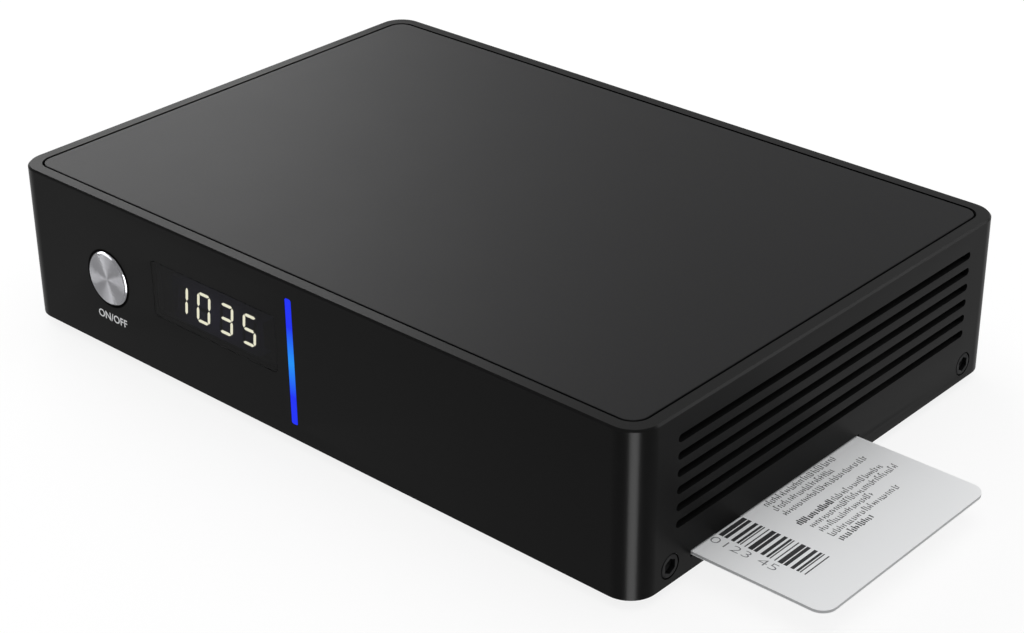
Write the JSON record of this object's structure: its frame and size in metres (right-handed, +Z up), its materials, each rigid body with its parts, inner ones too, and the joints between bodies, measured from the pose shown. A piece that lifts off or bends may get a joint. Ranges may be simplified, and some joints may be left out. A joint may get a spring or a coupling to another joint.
{
  "type": "satellite television receiver",
  "caption": "Low black set-top box with inset top panel, side vents, round power button, lit digits, blue light stripe, rear sockets and a smart card pulled part way out.",
  "frame": {"origin": "centre of the case's footprint, level with the undersides of the feet; the card and the rear connectors stand outside the footprint", "axes": "+X to the right seen from the front, which is also the way the card pulls out; +Y to the rear; +Z up"},
  "size_m": [0.2049, 0.1303, 0.038],
  "materials": {
    "shell_black": "satin moulded black",
    "panel_black": "fine blasted, black anodised",
    "sheet_black": "black powder coat",
    "screw_black": "black oxide",
    "zinc": "zinc plated",
    "foot_rubber": "matt",
    "board_mask": "dark solder mask",
    "chip_black": "moulded epoxy",
    "pad_grey": "soft silicone",
    "heatsink_black": "black anodised",
    "natural_nylon": "natural",
    "ferrite": "dry pressed",
    "capacitor_can": "plain",
    "tinplate": "bright tin",
    "nickel": "nickel plated",
    "socket_blue": "moulded",
    "socket_black": "moulded",
    "contact_gold": "gold plated",
    "window_smoke": "smoked clear plastic",
    "module_grey": "dark display face",
    "segment_lit": "glowing diffuser",
    "segment_unlit": "dark diffuser",
    "receiver_dark": "infrared clear",
    "button_aluminium": "spun brushed",
    "strip_blue": "glowing diffuser",
    "led_white": "moulded",
    "card_grey": "laminated card",
    "liner_film": "polyester film"
  },
  "bodies": {
    "housing": {"case_shell": "shell_black", "top_panel": "panel_black", "base_tray": "sheet_black", "rear_panel": "sheet_black", "rubber_feet": "foot_rubber", "side_screws": "screw_black", "side_screw_nuts": "zinc", "rear_panel_screws": "screw_black", "board_standoffs": "zinc", "main_board_screws": "zinc", "main_board": "board_mask", "processor": "chip_black", "thermal_pad": "pad_grey", "processor_heatsink": "heatsink_black", "heatsink_push_pins": "natural_nylon", "memory_chips": "chip_black", "flash_chip": "chip_black", "power_inductors": "ferrite", "electrolytic_capacitors": "capacitor_can", "network_transformer": "chip_black", "wireless_module": "tinplate", "satellite_tuner_can": "tinplate", "terrestrial_tuner_can": "tinplate", "f_connectors": "nickel", "f_insulators": "natural_nylon", "f_nuts": "nickel", "antenna_connector": "nickel", "antenna_insulator": "natural_nylon", "usb_shell": "tinplate", "usb_tongues": "socket_blue", "hdmi_shell": "tinplate", "hdmi_tongue": "socket_black", "optical_socket": "socket_black", "ethernet_socket": "socket_black", "ethernet_contacts": "contact_gold", "dc_jack_body": "socket_black", "dc_jack_pin": "nickel", "rocker_switch_body": "socket_black", "rocker_switch_leads": "tinplate", "front_board": "board_mask", "front_board_screws": "zinc", "display_window": "window_smoke", "display_module": "module_grey", "lit_segments": "segment_lit", "unlit_segments": "segment_unlit", "infrared_receiver": "receiver_dark", "tact_switch_body": "socket_black", "light_pipe": "strip_blue", "strip_leds": "led_white", "board_link_header": "socket_black", "board_link_pins": "contact_gold", "card_reader_frame": "socket_black", "card_reader_contacts": "contact_gold", "insulation_sheet": "liner_film"},
    "power_button": {"power_button": "button_aluminium", "tact_switch_plunger": "socket_black"},
    "smart_card": {"smart_card": "card_grey", "card_chip": "contact_gold"},
    "power_switch_paddle": {"rocker_switch_paddle": "socket_black"},
    "optical_shutter": {"optical_shutter": "socket_black"}
  },
  "joints": [
    {"name": "power_button_press", "type": "slide", "parent": "housing", "child": "power_button", "axis": [0, 1, 0], "range_m": [0, 0.0005], "stiffness_N_per_m": 400},
    {"name": "card_slide", "type": "slide", "parent": "housing", "child": "smart_card", "axis": [1, 0, 0], "range_m": [-0.02, 0.06]},
    {"name": "power_switch_rock", "type": "hinge", "parent": "housing", "child": "power_switch_paddle", "pos_m": [-0.07075, 0.0589, 0.0206], "axis": [1, 0, 0], "range_deg": [-16, 0]},
    {"name": "optical_shutter_open", "type": "hinge", "parent": "housing", "child": "optical_shutter", "pos_m": [-0.0245, 0.05803, 0.0184], "axis": [-1, 0, 0], "range_deg": [0, 82], "stiffness_Nm_per_rad": 0.0002}
  ]
}
